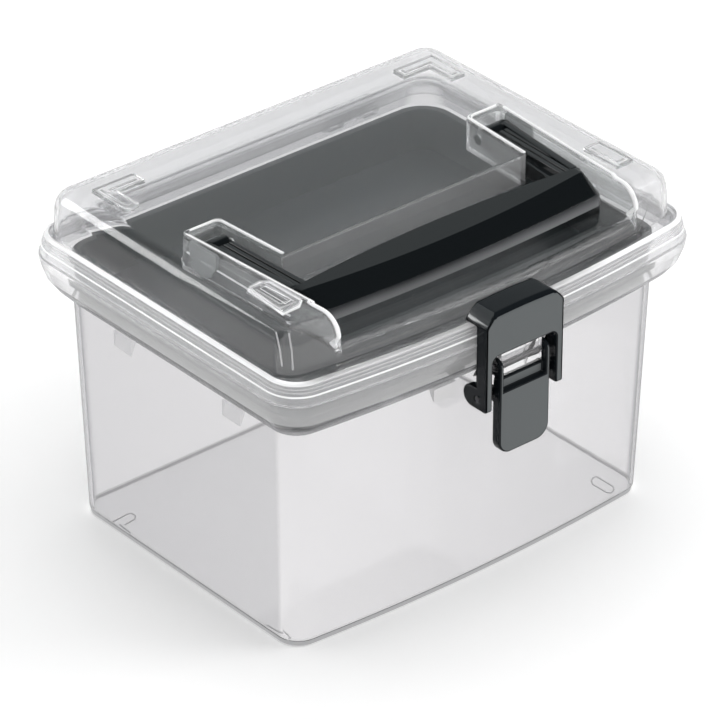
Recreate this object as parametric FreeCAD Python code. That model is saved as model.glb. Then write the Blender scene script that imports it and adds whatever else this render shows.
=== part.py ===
import FreeCAD
import Part
import math
import os
from FreeCAD import Vector

# A clear keeper case with a lift-out tray, a domed lid, a folding handle and a front latch.
# Millimetres. X runs along the front, -Y is the front, +Z is up, and the origin is the
# middle of the base on the table.

# Bin: outside half sizes at the foot and at the top of the plain wall
base_half_width = 109.0
base_back = 80.5
base_front = -86.0
base_front_radius = 1083.0
base_corner = 12.0
wall_half_width = 112.3
wall_back = 83.8
wall_front = -91.3
wall_front_radius = 850.0
wall_corner = 13.0
wall_top = 117.5
bin_wall = 2.0
bin_floor = 2.4
base_edge_radius = 2.0

# Rim: the widest line of the case, where the lid's skirt meets the bin
rim_half_width = 125.0
rim_back = 97.0
rim_front = -106.9
rim_front_radius = 794.0
rim_corner = 19.0
seat_height = 142.0
seat_width = 2.5
upstand_lean = 3.3
upstand_height = 7.4

# The bin swells from the wall to the rim: share of the width step, share of the height step
shoulder_shares = ((0.0, 0.0), (0.50, 0.29), (0.79, 0.52), (0.94, 0.78), (1.0, 0.96), (1.0, 1.0))

# Lid
lid_gap = 0.02
skirt_flare = 3.5
skirt_height = 10.7
skirt_wall = 2.1
lid_wall = 2.0
dome_side_inset = 3.0
dome_back_inset = 4.0
dome_front_inset = 7.0
dome_corner = 13.0
dome_draft = 1.6
dome_height = 22.3
dome_edge_radius = 10.0

# Handle: two arms that draw closer toward the front, joined by a hollow bar
handle_pivot_y = 2.8
handle_pivot_z = 167.2
handle_arm_inner = 78.2
handle_arm_width = 14.0
handle_taper_share = 0.06
handle_rib_width = 4.2
handle_arm_bottom = 161.6
handle_web_top = 169.8
handle_arm_top = 173.0
handle_lobe_radius = 5.6
handle_pin_radius = 2.5
bar_rear = -53.0
bar_rear_top = 172.6
bar_crown_y = -65.0
bar_crown_z = 171.6
bar_front = -75.5
bar_front_z = 162.6
bar_wall = 3.2

# Handle well, sunk in the dome: two arm slots joined by a finger space and the bar's seat
slot_outer_gap = 2.0
slot_inner_gap = 2.2
well_back = 11.0
plateau_front = -31.5
well_floor = 160.0
well_front_start = -78.0
well_front_radius = 6.0
bead_width = 1.8
bead_rise = 1.8
bead_front = -74.0

# Stacking pads on the dome
pad_rise = 2.2
pad_side_gap = 2.2
front_pad_width = 10.0
front_pad_back = -46.5
front_pad_length = 23.0
back_pad_x = 103.5
back_pad_y = 70.0
back_pad_length = 24.5
back_pad_arm = 8.5

# Tray
tray_top = 142.0
tray_bottom = 115.0
tray_floor_under = 119.4
tray_wall = 1.7
tray_top_inset = 0.8
tray_corner = 15.0
tray_foot_inset = 4.2
tray_foot_corner = 11.0
tray_lip_width = 2.0
tray_lip_height = 1.8
tray_notch_x = 54.0
tray_notch_width = 11.0
tray_notch_reach = 35.0
tray_notch_roof = 0.4

# Ribs inside the bin that carry the tray
rib_width = 13.0
rib_reach = 4.2
rib_height = 9.0
rib_side_y = 40.0
rib_front_x = 26.0

# Rear hinge
hinge_reach = 5.0
hinge_radius = 4.0
hinge_pin_radius = 1.5
hinge_side_offset = 65.0
hinge_leaf = 9.0
hinge_middle = 13.0
hinge_side_gap = 0.3
hinge_web = 3.6

# Latch: distances forward of the rim's front, then heights
lever_face_reach = 8.0
hook_face_reach = 7.5
block_reach = 5.3
lever_axis_reach = 3.3
hook_axis_reach = 1.5
hook_cheek_reach = 0.5
hook_lip_depth = 7.3
hook_lobe_depth = 8.1
lever_axis_z = 129.9
hook_axis_z = 115.3
lever_pin_radius = 1.3
hook_pin_radius = 1.5
block_side_gap = 0.5
block_bottom = 124.2
block_top = 137.3
block_heel = 7.5
block_flat = 3.5
lever_half_width = 15.1
lever_rail = 2.3
lever_thick = 5.3
lever_bottom = 84.4
lever_tab_top = 118.0
lever_bar_top = 123.6
lever_lug_radius = 3.9
lever_corner = 7.0
hook_half_width = 23.3
hook_cheek = 4.0
hook_plate = 2.6
hook_lip = 3.0
hook_head_top = 160.6
hook_head_plate = 3.4
hook_head_radius = 3.0
hook_window_top = 137.8
hook_window_corner = 3.5
hook_bottom = 110.0
hook_lobe_top = 121.1
hook_corner = 6.5
latch_gap = 0.5

# Fits
running_clearance = 0.08
press_clearance = 0.02
cut_overrun = 4.0
edge_match = 0.01

# Places that follow from the values above
hinge_axis_y = rim_back + hinge_reach
hinge_start = rim_half_width - hinge_side_offset
lever_face = rim_front - lever_face_reach
lever_axis_y = rim_front - lever_axis_reach
hook_face = rim_front - hook_face_reach
hook_axis_y = rim_front - hook_axis_reach
hook_cheek_back = rim_front - hook_cheek_reach
hook_lip_back = rim_front + hook_lip_depth
hook_lobe_back = rim_front + hook_lobe_depth
block_front = rim_front - block_reach
block_half_width = lever_half_width - lever_rail - block_side_gap
handle_arm_outer = handle_arm_inner + handle_arm_width
well_half_width = handle_arm_outer + slot_outer_gap
plateau_half_width = handle_arm_inner - slot_inner_gap
lid_top_height = seat_height + skirt_height
dome_top_height = lid_top_height + dome_height


def corner_points(centre_x, centre_y, radius, start, end):
    middle = (start + end) / 2
    return [Vector(centre_x + radius * math.cos(math.radians(a)),
                   centre_y + radius * math.sin(math.radians(a)), 0) for a in (start, middle, end)]


def outline(half_width, back, front, front_radius, corner, height):
    """One closed outline at a height: straight back and sides, bowed front, round corners."""
    front_centre = front + front_radius
    side_x = half_width - corner
    corner_y = front_centre - math.sqrt((front_radius - corner) ** 2 - side_x ** 2)
    lean = math.degrees(math.atan2(side_x, front_centre - corner_y))
    down = -90.0
    back_right = corner_points(side_x, back - corner, corner, 0, 90)
    back_left = corner_points(-side_x, back - corner, corner, 90, 180)
    front_left = corner_points(-side_x, corner_y, corner, 180, 180 - down - lean)
    front_right = corner_points(side_x, corner_y, corner, down + lean, 0)
    edges = [
        Part.Arc(*back_right).toShape(),
        Part.makeLine(back_right[2], back_left[0]),
        Part.Arc(*back_left).toShape(),
        Part.makeLine(back_left[2], front_left[0]),
        Part.Arc(*front_left).toShape(),
        Part.Arc(front_left[2], Vector(0, front, 0), front_right[0]).toShape(),
        Part.Arc(*front_right).toShape(),
        Part.makeLine(front_right[2], back_right[0]),
    ]
    wire = Part.Wire(edges)
    wire.translate(Vector(0, 0, height))
    return wire


def inset(level, amount, height=None):
    """The same outline moved in by an amount."""
    half_width, back, front, front_radius, corner, level_height = level
    if height is None:
        height = level_height
    return (half_width - amount, back - amount, front + amount,
            front_radius - amount, corner - amount, height)


def between(low, high, width_share, height_share):
    """A level part of the way from one level to another."""
    sizes = [a + (b - a) * width_share for a, b in zip(low[:5], high[:5])]
    return (*sizes, low[5] + (high[5] - low[5]) * height_share)


def loft(levels, ruled=True):
    return Part.makeLoft([outline(*level) for level in levels], True, ruled)


def box(x0, x1, y0, y1, z0, z1):
    return Part.makeBox(x1 - x0, y1 - y0, z1 - z0, Vector(x0, y0, z0))


def rod(x0, x1, y, z, radius):
    return Part.makeCylinder(radius, x1 - x0, Vector(x0, y, z), Vector(1, 0, 0))


def drawn_in(x, y):
    """A side distance at the pivot, carried along the taper of the handle's arms."""
    return x + math.copysign(handle_taper_share, x) * (y - handle_pivot_y)


def plan_strip(x0, x1, y0, y1, low, high):
    """An upright prism whose sides follow the taper of the handle's arms."""
    corners = [Vector(drawn_in(x, y), y, low) for x, y in ((x0, y0), (x1, y0), (x1, y1), (x0, y1))]
    return Part.Face(Part.makePolygon(corners + corners[:1])).extrude(Vector(0, 0, high - low))


def side_prism(points, x0, x1):
    """A prism along X of a closed outline given as (y, z) points."""
    corners = [Vector(x0, y, z) for y, z in points]
    return Part.Face(Part.makePolygon(corners + corners[:1])).extrude(Vector(x1 - x0, 0, 0))


def mirrored(shape):
    return shape.mirror(Vector(0, 0, 0), Vector(1, 0, 0))


def both_sides(shape):
    return [shape, mirrored(shape)]


def fuse_all(shapes):
    whole = shapes[0].multiFuse(shapes[1:])
    return whole.removeSplitter()


def fillet_where(shape, radius, chosen):
    edges = [edge for edge in shape.Edges if chosen(edge)]
    return shape.makeFillet(radius, edges)


def near(a, b):
    return abs(a - b) < edge_match


def flat_at(height):
    def chosen(edge):
        return near(edge.BoundBox.ZMin, height) and near(edge.BoundBox.ZMax, height)
    return chosen


def runs_back(edge):
    """True for an edge that runs straight along Y."""
    return edge.BoundBox.XLength < edge_match and edge.BoundBox.ZLength < edge_match


def save(name, shape):
    if len(shape.Solids) != 1 or not shape.isValid():
        print("check", name, "solids", len(shape.Solids), "valid", shape.isValid())
    shape.Solids[0].exportStep(os.path.join("parts", name + ".step"))
    print(name, round(shape.Volume / 1000, 1), "cm3")


# Outline levels of the bin
base_level = (base_half_width, base_back, base_front, base_front_radius, base_corner, 0.0)
wall_level = (wall_half_width, wall_back, wall_front, wall_front_radius, wall_corner, wall_top)
rim_level = (rim_half_width, rim_back, rim_front, rim_front_radius, rim_corner, seat_height)
shoulder_levels = [between(wall_level, rim_level, *share) for share in shoulder_shares]
upstand_foot = inset(rim_level, seat_width)
upstand_top = inset(rim_level, seat_width + upstand_lean, seat_height + upstand_height)
wall_draft = (wall_half_width - base_half_width) / wall_top


def wall_inner_half_width(height):
    return base_half_width + wall_draft * height - bin_wall


def make_bin():
    body = loft([base_level, wall_level])
    body = fillet_where(body, base_edge_radius, flat_at(0.0))
    shoulder = loft(shoulder_levels)
    upstand = loft([upstand_foot, upstand_top])
    outside = fuse_all([body, shoulder, upstand])
    floor_level = inset(between(base_level, wall_level, bin_floor / wall_top, bin_floor / wall_top), bin_wall)
    hollow_wall = loft([floor_level, inset(wall_level, bin_wall)])
    inner_shoulder = [inset(level, bin_wall) for level in shoulder_levels[:-2]]
    inner_shoulder.append(inset(rim_level, seat_width + bin_wall, seat_height - bin_wall / 2))
    hollow_shoulder = loft(inner_shoulder)
    hollow_top = loft([inner_shoulder[-1], inset(upstand_top, bin_wall, seat_height + upstand_height)])
    top_mouth = loft([inset(upstand_top, bin_wall, seat_height + upstand_height),
                      inset(upstand_top, bin_wall, seat_height + upstand_height + cut_overrun)])
    shell = outside.cut(fuse_all([hollow_wall, hollow_shoulder, hollow_top, top_mouth]))
    pieces = [shell] + tray_ribs() + bin_knuckles() + [latch_block()]
    case = fuse_all(pieces)
    for start in (-hinge_end(), hinge_start):
        case = case.cut(rod(start - cut_overrun, start + hinge_length() + cut_overrun,
                            hinge_axis_y, seat_height, hinge_pin_radius + press_clearance))
    return case.cut(rod(-block_half_width - cut_overrun, block_half_width + cut_overrun,
                        lever_axis_y, lever_axis_z, lever_pin_radius + press_clearance))


def tray_ribs():
    """Small ledges inside the walls, flat on top, that carry the tray's foot."""
    foot = tray_bottom
    side_wall = wall_inner_half_width(foot) + bin_wall / 2
    back_wall = wall_back - bin_wall / 2
    front_wall = wall_front + bin_wall / 2
    side_points = [(side_wall, foot), (side_wall - rib_reach - bin_wall / 2, foot),
                   (side_wall - bin_wall / 2, foot - rib_height), (side_wall, foot - rib_height)]
    ribs = []
    for y in (-rib_side_y, rib_side_y):
        corners = [Vector(x, y - rib_width / 2, z) for x, z in side_points]
        rib = Part.Face(Part.makePolygon(corners + corners[:1])).extrude(Vector(0, rib_width, 0))
        ribs += both_sides(rib)
    for wall, inward in ((back_wall, -1), (front_wall, 1)):
        points = [(wall, foot), (wall + inward * (rib_reach + bin_wall), foot),
                  (wall + inward * bin_wall / 2, foot - rib_height), (wall, foot - rib_height)]
        rib = side_prism(points, rib_front_x - rib_width / 2, rib_front_x + rib_width / 2)
        ribs += both_sides(rib)
    return ribs


def hinge_length():
    return hinge_leaf * 2 + hinge_middle


def hinge_end():
    return hinge_start + hinge_length()


def knuckle(x0, x1, low, high):
    """A hinge barrel with a web that runs forward to the rim."""
    web = box(x0, x1, rim_back - seat_width, hinge_axis_y, low, high)
    return rod(x0, x1, hinge_axis_y, seat_height, hinge_radius).fuse(web)


def bin_knuckles():
    leaves = []
    for x0 in (hinge_start, hinge_end() - hinge_leaf):
        leaf = knuckle(x0, x0 + hinge_leaf, seat_height - hinge_web, seat_height - lid_gap)
        leaves += both_sides(leaf)
    return leaves


def latch_block():
    """The clear block on the front shoulder that holds the lever's pin."""
    start = wall_front - bin_wall / 2
    points = [(start, wall_top - bin_wall), (block_front + block_flat, block_bottom), (block_front, block_bottom),
              (block_front, block_top), (rim_front + seat_width, block_top), (rim_front + block_heel, lever_axis_z)]
    solid = side_prism(points, -block_half_width, block_half_width)
    inner = loft([inset(level, bin_wall / 2) for level in shoulder_levels])
    return solid.cut(inner)


# Lid levels
skirt_foot = (*rim_level[:5], seat_height + lid_gap)
skirt_top = inset(rim_level, skirt_flare, lid_top_height)
dome_foot = (skirt_top[0] - dome_side_inset, skirt_top[1] - dome_back_inset, skirt_top[2] + dome_front_inset,
             skirt_top[3] - dome_front_inset, dome_corner, lid_top_height)


def dome_level(offset, height):
    """The dome's outline at a height, moved in by an offset."""
    share = (height - lid_top_height) / dome_height
    return inset(dome_foot, offset + dome_draft * share, height)


def dome_solid(offset, top, edge_radius):
    low = seat_height if offset else lid_top_height - lid_wall
    solid = loft([dome_level(offset, low), dome_level(offset, top - offset)])
    return fillet_where(solid, edge_radius - offset, flat_at(top - offset))


def well_front_zone(offset):
    """Everything between the well's side walls from the bar's seat to the front."""
    outer = well_half_width + offset
    return plan_strip(-outer, outer, rim_front - cut_overrun, well_front_start,
                      seat_height - cut_overrun, dome_top_height + cut_overrun)


def well_solid(offset):
    """The space sunk in the dome for the handle, grown by an offset."""
    outer = well_half_width + offset
    inner = plateau_half_width - offset
    floor = well_floor - offset
    top = dome_top_height + cut_overrun
    slot = plan_strip(inner, outer, plateau_front - cut_overrun, well_back + offset, floor, top)
    seat = plan_strip(-outer, outer, rim_front - cut_overrun, plateau_front + offset, floor, top)
    return fuse_all([seat, well_front_zone(offset)] + both_sides(slot))


def dome_shape(offset):
    """The dome with the handle well sunk in it; its floor runs out level to the dome's front."""
    dome = dome_solid(offset, dome_top_height, dome_edge_radius).cut(well_solid(offset))
    seat = dome_solid(offset, well_floor, well_front_radius).common(well_front_zone(offset))
    return fuse_all([dome, seat])


def well_bead():
    """A raised bead round each arm slot."""
    low = dome_top_height - lid_wall
    top = dome_top_height + bead_rise
    outer = plan_strip(well_half_width, well_half_width + bead_width, bead_front, well_back + bead_width, low, top)
    inner = plan_strip(plateau_half_width - bead_width, plateau_half_width,
                       plateau_front, well_back + bead_width, low, top)
    rear = plan_strip(plateau_half_width - bead_width, well_half_width + bead_width,
                      well_back, well_back + bead_width, low, top)
    return both_sides(fuse_all([outer, inner, rear]))


def stacking_pads():
    top = dome_top_height + pad_rise
    low = dome_top_height - dome_edge_radius
    front_pad_x = well_half_width + pad_side_gap
    front_pad = box(front_pad_x, front_pad_x + front_pad_width,
                    front_pad_back - front_pad_length, front_pad_back, low, top)
    long_arm = box(back_pad_x - back_pad_length, back_pad_x, back_pad_y - back_pad_arm, back_pad_y, low, top)
    short_arm = box(back_pad_x - back_pad_arm, back_pad_x, back_pad_y - back_pad_length, back_pad_y, low, top)
    return both_sides(front_pad) + both_sides(long_arm.fuse(short_arm))


def make_lid():
    skirt = loft([skirt_foot, skirt_top])
    rim_hollow = loft([inset(skirt_foot, skirt_wall, seat_height),
                       inset(skirt_top, skirt_wall, lid_top_height - lid_wall)])
    outside = fuse_all([skirt, dome_shape(0.0)] + stacking_pads() + well_bead())
    shell = outside.cut(fuse_all([rim_hollow, dome_shape(lid_wall)]))
    leaf = knuckle(hinge_start + hinge_leaf + hinge_side_gap, hinge_end() - hinge_leaf - hinge_side_gap,
                   seat_height + lid_gap, seat_height + hinge_web)
    lid = fuse_all([shell] + both_sides(leaf))
    bore = rod(hinge_start, hinge_end(), hinge_axis_y, seat_height, hinge_pin_radius + running_clearance)
    pivot = rod(plateau_half_width - lid_wall - cut_overrun, well_half_width + lid_wall + cut_overrun,
                handle_pivot_y, handle_pivot_z, handle_pin_radius + press_clearance)
    for tool in both_sides(bore) + both_sides(pivot):
        lid = lid.cut(tool)
    return lid


def make_tray():
    top_level = (*inset(wall_level, tray_top_inset)[:4], tray_corner, tray_top)
    foot_level = (*inset(wall_level, tray_foot_inset)[:4], tray_foot_corner, tray_bottom)
    height = tray_top - tray_bottom
    floor_share = (tray_floor_under - tray_bottom) / height
    inner_share = (tray_floor_under + tray_wall - tray_bottom) / height
    outside = loft([foot_level, top_level])
    lip = loft([inset(top_level, -tray_lip_width, tray_top - tray_lip_height), inset(top_level, -tray_lip_width)])
    hollow = loft([inset(between(foot_level, top_level, inner_share, inner_share), tray_wall),
                   inset(top_level, tray_wall)])
    under = loft([inset(foot_level, tray_wall),
                  inset(between(foot_level, top_level, floor_share, floor_share), tray_wall)])
    tray = outside.fuse(lip).removeSplitter()
    tray = tray.cut(hollow).cut(under)
    notch = box(tray_notch_x - tray_notch_width / 2, tray_notch_x + tray_notch_width / 2,
                wall_front, wall_front + tray_notch_reach, tray_bottom - cut_overrun, tray_floor_under - tray_notch_roof)
    for tool in both_sides(notch):
        tray = tray.cut(tool)
    return tray


def bar_section(shift=0.0):
    """Arc and edges of the bar's outside, moved in by a shift."""
    rear = Vector(0, bar_rear - shift, bar_rear_top - shift)
    crown = Vector(0, bar_crown_y, bar_crown_z - shift)
    front = Vector(0, bar_front + shift, bar_front_z)
    return rear, crown, front


def bar_solid(shift, low, half_width):
    """The bar's section, moved in by a shift, drawn out to a half width on both sides."""
    rear, crown, front = bar_section(shift)
    low_rear = Vector(0, rear.y, low)
    low_front = Vector(0, front.y, low)
    edges = [Part.Arc(rear, crown, front).toShape(), Part.makeLine(front, low_front),
             Part.makeLine(low_front, low_rear), Part.makeLine(low_rear, rear)]
    section = Part.Face(Part.Wire(edges))
    section.translate(Vector(-half_width, 0, 0))
    return section.extrude(Vector(2 * half_width, 0, 0))


def make_handle():
    low = handle_arm_bottom
    inner = handle_arm_inner
    outer = handle_arm_outer
    web = plan_strip(inner, outer, bar_rear, handle_pivot_y, low, handle_web_top)
    rib = plan_strip(outer - handle_rib_width, outer, bar_rear, handle_pivot_y, low, handle_arm_top)
    lobe = rod(inner, outer, handle_pivot_y, handle_pivot_z, handle_lobe_radius)
    top = handle_arm_top + cut_overrun
    ends = plan_strip(-outer, outer, bar_front, bar_rear, low, top)
    between_arms = plan_strip(-inner, inner, bar_front, bar_rear, low - cut_overrun, top)
    bar = bar_solid(0.0, low, outer).common(ends)
    hollow = bar_solid(bar_wall, low - cut_overrun, inner).common(between_arms)
    handle = fuse_all([bar] + both_sides(web) + both_sides(rib) + both_sides(lobe)).cut(hollow)
    bore = rod(inner - cut_overrun, outer + cut_overrun,
               handle_pivot_y, handle_pivot_z, handle_pin_radius + running_clearance)
    for tool in both_sides(bore):
        handle = handle.cut(tool)
    return handle


def make_lever():
    half = lever_half_width
    inner = half - lever_rail
    tab_back = lever_face + lever_thick
    ear_radius = lever_axis_y - lever_face
    tab = box(-half, half, lever_face, tab_back, lever_bottom, lever_tab_top)
    tab = fillet_where(tab, lever_corner, lambda e: runs_back(e) and e.BoundBox.ZMax < lever_bottom + lever_corner)
    bar = box(-half, half, lever_face + lever_thick / 2, tab_back, lever_tab_top, lever_bar_top)
    rail = box(inner, half, lever_face, lever_axis_y, hook_axis_z, lever_axis_z)
    ear = rod(inner, half, lever_axis_y, lever_axis_z, ear_radius)
    lug = rod(inner, half, hook_axis_y, hook_axis_z, lever_lug_radius)
    side = box(inner, half, lever_face, hook_axis_y, hook_axis_z - lever_lug_radius, hook_axis_z)
    lever = fuse_all([tab, bar] + both_sides(rail) + both_sides(ear) + both_sides(lug) + both_sides(side))
    for y, z, radius in ((lever_axis_y, lever_axis_z, lever_pin_radius), (hook_axis_y, hook_axis_z, hook_pin_radius)):
        lever = lever.cut(rod(-half - cut_overrun, half + cut_overrun, y, z, radius + running_clearance))
    return lever


def make_hook():
    half = hook_half_width
    window = half - hook_cheek
    lip_low = lid_top_height + latch_gap
    plate = box(-half, half, hook_face, hook_face + hook_plate, hook_window_top, hook_head_top)
    head = box(-half, half, hook_face, hook_lip_back, hook_head_top - hook_head_plate, hook_head_top)
    lip = box(-half, half, hook_lip_back - hook_lip, hook_lip_back, lip_low, hook_head_top)
    ends = box(window, half, hook_face, hook_lip_back, lip_low, hook_head_top)
    cheek = box(window, half, hook_face, hook_cheek_back, hook_bottom, lip_low)
    lobe_radius = (hook_lobe_top - hook_bottom) / 2
    lobe_y = hook_lobe_back - lobe_radius
    lobe = rod(window, half, lobe_y, hook_bottom + lobe_radius, lobe_radius)
    lobe_web = box(window, half, hook_cheek_back, lobe_y, hook_bottom, hook_lobe_top)
    hook = fuse_all([plate, head, lip] + both_sides(ends) + both_sides(cheek) + both_sides(lobe)
                    + both_sides(lobe_web))
    hook = fillet_where(hook, hook_corner, lambda e: runs_back(e) and near(e.BoundBox.ZMax, hook_head_top)
                        and near(abs(e.BoundBox.XMax), half))
    hook = fillet_where(hook, hook_window_corner, lambda e: runs_back(e) and near(e.BoundBox.ZMax, hook_window_top)
                        and near(abs(e.BoundBox.XMax), window))
    round_y = hook_face + hook_head_radius
    round_z = hook_head_top - hook_head_radius
    side = half + cut_overrun
    front_edge = box(-side, side, hook_face, round_y, round_z, hook_head_top)
    hook = hook.cut(front_edge.cut(rod(-side, side, round_y, round_z, hook_head_radius)))
    return hook.cut(rod(-side, side, hook_axis_y, hook_axis_z, hook_pin_radius + press_clearance))


def make_pins():
    hinge_pin = rod(hinge_start, hinge_end(), hinge_axis_y, seat_height, hinge_pin_radius)
    handle_pin = rod(plateau_half_width - lid_wall, well_half_width + lid_wall,
                     handle_pivot_y, handle_pivot_z, handle_pin_radius)
    save("hinge_pin_right", hinge_pin)
    save("hinge_pin_left", mirrored(hinge_pin))
    save("handle_pin_right", handle_pin)
    save("handle_pin_left", mirrored(handle_pin))
    save("lever_pin", rod(-lever_half_width, lever_half_width, lever_axis_y, lever_axis_z, lever_pin_radius))
    save("hook_pin", rod(-hook_half_width, hook_half_width, hook_axis_y, hook_axis_z, hook_pin_radius))


os.makedirs("parts", exist_ok=True)
save("bin", make_bin())
save("lid", make_lid())
save("tray", make_tray())
save("handle", make_handle())
save("latch_lever", make_lever())
save("latch_hook", make_hook())
make_pins()
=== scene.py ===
import bpy
import bmesh
import math
from mathutils import Matrix, Vector


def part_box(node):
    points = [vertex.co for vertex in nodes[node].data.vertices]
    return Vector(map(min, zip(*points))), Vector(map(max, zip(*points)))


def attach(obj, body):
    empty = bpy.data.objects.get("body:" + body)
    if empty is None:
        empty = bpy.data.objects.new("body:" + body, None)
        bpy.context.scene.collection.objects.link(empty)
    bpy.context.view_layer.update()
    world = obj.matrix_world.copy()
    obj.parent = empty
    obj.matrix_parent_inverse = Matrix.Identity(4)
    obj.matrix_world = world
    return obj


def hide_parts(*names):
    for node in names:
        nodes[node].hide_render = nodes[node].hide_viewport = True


mm = 0.001
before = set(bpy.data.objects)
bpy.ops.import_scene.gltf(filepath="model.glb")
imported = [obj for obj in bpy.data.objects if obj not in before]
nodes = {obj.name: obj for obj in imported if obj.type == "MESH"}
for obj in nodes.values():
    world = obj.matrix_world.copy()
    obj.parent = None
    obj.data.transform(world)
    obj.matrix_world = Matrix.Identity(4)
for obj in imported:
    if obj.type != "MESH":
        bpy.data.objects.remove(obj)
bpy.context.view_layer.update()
scene = bpy.context.scene
print("frame loaded:", len(nodes), "nodes")


class Wire:  # a socket that takes part in plain sums; each sum adds its Math node
    def __init__(self, shade, socket):
        self.shade = shade
        self.socket = socket

    def __add__(self, other):
        return self.shade.sum("ADD", self, other)

    def __mul__(self, other):
        return self.shade.sum("MULTIPLY", self, other)

    def __pow__(self, other):
        return self.shade.sum("POWER", self, other)

    __radd__ = __add__
    __rmul__ = __mul__


class Shade:  # the nodes of one material, or of the world
    def __init__(self, owner):
        self.owner = bpy.data.materials.new(owner) if isinstance(owner, str) else owner
        self.owner.use_nodes = True
        self.tree = self.owner.node_tree
        self.tree.nodes.clear()

    def node(self, kind, settings=None, inputs=None, out=0):
        made = self.tree.nodes.new(kind)
        for key, value in (settings or {}).items():
            setattr(made, key, value)
        for key, value in (inputs or {}).items():
            if isinstance(value, Wire):
                self.tree.links.new(value.socket, made.inputs[key])
            else:
                made.inputs[key].default_value = value
        return Wire(self, made.outputs[out])

    def sum(self, operation, first, second):
        return self.node("ShaderNodeMath", {"operation": operation}, {0: first, 1: second})

    def mixColour(self, factor, first, second):  # sockets 6 and 7 are the node's two colours
        return self.node("ShaderNodeMix", {"data_type": "RGBA"}, {0: factor, 6: first, 7: second}, 2)

    def along(self, axis, system="Object"):  # how far a point lies along one axis
        place = self.node("ShaderNodeTexCoord", {}, {}, system)
        return self.node("ShaderNodeSeparateXYZ", {}, {"Vector": place}, axis)

    def noise(self, scale, detail=2.0, stretch=(1.0, 1.0, 1.0)):
        place = self.node("ShaderNodeTexCoord", {}, {}, "Object")
        place = self.node("ShaderNodeMapping", {}, {"Vector": place, "Scale": stretch})
        return self.node("ShaderNodeTexNoise", {}, {"Vector": place, "Scale": scale, "Detail": detail}, 0)

    def bump(self, height, strength, depth):
        return self.node("ShaderNodeBump", {}, {
            "Height": height, "Strength": strength, "Distance": depth * mm})

    def facing(self):
        return self.node("ShaderNodeLayerWeight", {}, {"Blend": 0.5}, "Facing")

    def rayIs(self, kind):
        return self.node("ShaderNodeLightPath", {}, {}, "Is " + kind + " Ray")

    def ramp(self, value, low, high, first=0.0, last=1.0):
        return self.node("ShaderNodeMapRange", {"interpolation_type": "SMOOTHSTEP"}, {
            "Value": value, "From Min": low, "From Max": high, "To Min": first, "To Max": last})

    def surface(self, inputs):
        return self.node("ShaderNodeBsdfPrincipled", {}, inputs)

    def blend(self, factor, first, second):
        return self.node("ShaderNodeMixShader", {}, {0: factor, 1: first, 2: second})

    def finish(self, surface, kind="ShaderNodeOutputMaterial"):
        output = self.tree.nodes.new(kind)
        self.tree.links.new(surface.socket, output.inputs["Surface"])
        return self.owner


def grey(value):
    return (value, value, value, 1.0)


# paintedGlow is painted light: an even white emission that lifts the hazy rim, the ledges, the foot band and
# the lid's finishes
clearLook = {
    "tint": (0.965, 0.965, 0.975, 1.0), "sideTint": (0.93, 0.93, 0.94, 1.0), "sideFrom": 0.30,
    "sideTo": 0.62, "edgeTint": (0.38, 0.385, 0.39, 1.0), "edgeFrom": 0.66, "edgeTo": 0.95,
    "edgeShare": 0.45, "edgeRoughness": 0.6, "paintedGlow": 0.0, "transmission": 1.0, "alpha": 0.9,
    "roughness": 0.02, "roughScale": 6.0, "ior": 1.4, "waveScale": 14.0, "waveStrength": 0.05,
    "waveDepth": 0.5,
}
binLook = {
    **clearLook, "tint": (1.0, 0.993, 1.0, 1.0), "sideTint": (0.385, 0.385, 0.40, 1.0), "transmission": 0.95,
    "alpha": 1.0, "roughness": 0.03, "ior": 1.35, "edgeTint": (0.27, 0.275, 0.28, 1.0), "edgeFrom": 0.60,
    "edgeTo": 0.9, "edgeShare": 0.5,
}
rimLook = {**clearLook, "transmission": 0.76, "roughness": 0.08, "paintedGlow": 0.09}
ribLook = {
    **binLook, "tint": grey(0.95), "sideTint": grey(0.95), "transmission": 0.0, "alpha": 0.3, "ior": 1.05,
    "edgeShare": 0.0, "paintedGlow": 0.25,
}
frontRibLook = {**ribLook, "tint": grey(0.42), "sideTint": grey(0.42), "paintedGlow": 0.0}
# the base's foot band: an opaque dark grey lifted to a mid grey by painted emission; the far band is paler
# with more of it
footLook = {
    **binLook, "tint": (0.10, 0.10, 0.11, 1.0), "sideTint": (0.10, 0.10, 0.11, 1.0), "transmission": 0.0,
    "roughness": 0.3, "edgeShare": 0.0, "paintedGlow": 0.30,
}
farFootLook = {**footLook, "tint": grey(0.3), "sideTint": grey(0.3), "paintedGlow": 0.5}
hazeLook = {**clearLook, "transmission": 0.84, "roughness": 0.08, "paintedGlow": 0.02}
# the dome's front faces and its right end: hazier, with painted emission; the right end is painted lighter as
# if lit from that side
frontLook = {**clearLook, "transmission": 0.95, "paintedGlow": 0.05}
litRightEndLook = {**clearLook, "transmission": 0.9, "paintedGlow": 0.06}
wellLook = {
    **clearLook, "tint": (0.80, 0.83, 0.83, 1.0), "sideTint": (0.74, 0.77, 0.77, 1.0), "transmission": 0.88,
    "alpha": 0.8, "paintedGlow": 0.03,
}
bossLook = {
    **clearLook, "tint": (0.45, 0.47, 0.47, 1.0), "sideTint": (0.45, 0.47, 0.47, 1.0), "transmission": 0.35,
    "roughness": 0.2, "alpha": 1.0,
}


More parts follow.
